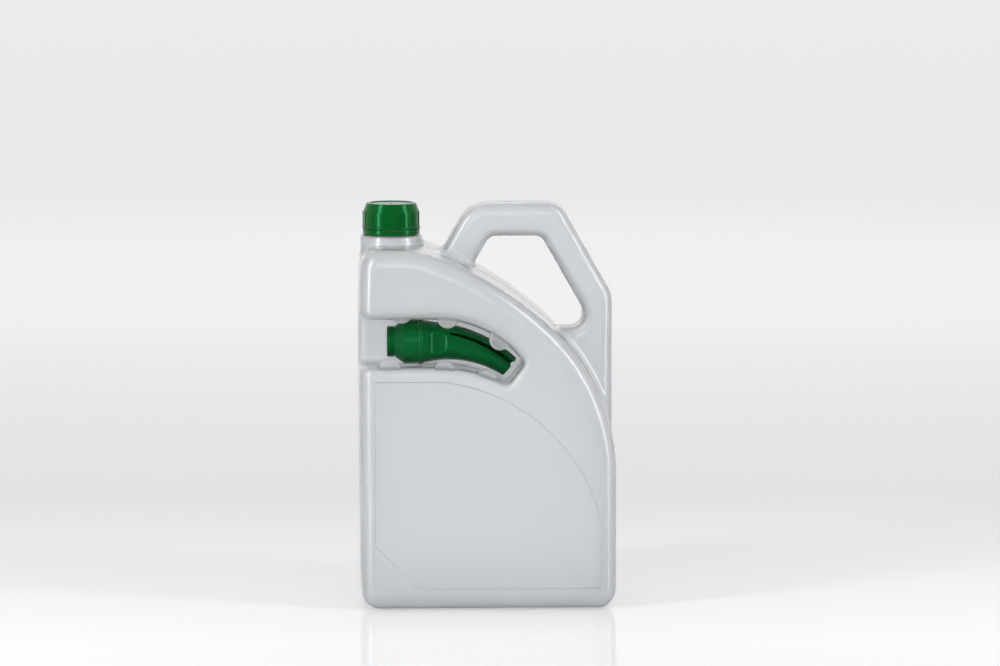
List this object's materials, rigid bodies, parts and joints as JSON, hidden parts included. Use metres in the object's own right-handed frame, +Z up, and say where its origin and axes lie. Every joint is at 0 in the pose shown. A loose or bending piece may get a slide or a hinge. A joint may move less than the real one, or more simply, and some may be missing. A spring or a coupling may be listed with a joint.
{
  "type": "jerrycan",
  "caption": "Translucent plastic jerrycan with an arched shoulder, a bent carrying handle, a screw cap and a pouring spout stored in a pocket on its front.",
  "frame": {"origin": "on the ground under the middle of the can's outline, width and depth halved", "axes": "+Z up, -Y the front with the spout pocket, +X to the right as seen from the front"},
  "size_m": [0.1884, 0.125, 0.2948],
  "materials": {
    "can_hdpe": "natural, slightly translucent",
    "cap_green": "satin",
    "spout_green": "satin",
    "liner_foam": "foamed sheet"
  },
  "bodies": {
    "can": {"can_body": "can_hdpe", "tamper_band": "cap_green", "pour_spout": "spout_green"},
    "liner": {"cap_liner": "liner_foam"},
    "cap": {"screw_cap": "cap_green"}
  },
  "joints": [
    {"name": "cap_lift", "type": "slide", "parent": "can", "child": "liner", "axis": [0, 0, 1], "range_m": [0, 0.0101]},
    {"name": "cap_turn", "type": "hinge", "parent": "liner", "child": "cap", "pos_m": [-0.0697, 0, 0.285], "axis": [0, 0, 1], "range_deg": [0, 720]}
  ],
  "couplings": [
    {"joint": "cap_lift", "follows": "cap_turn", "m_per_rad": 0.00079577}
  ]
}
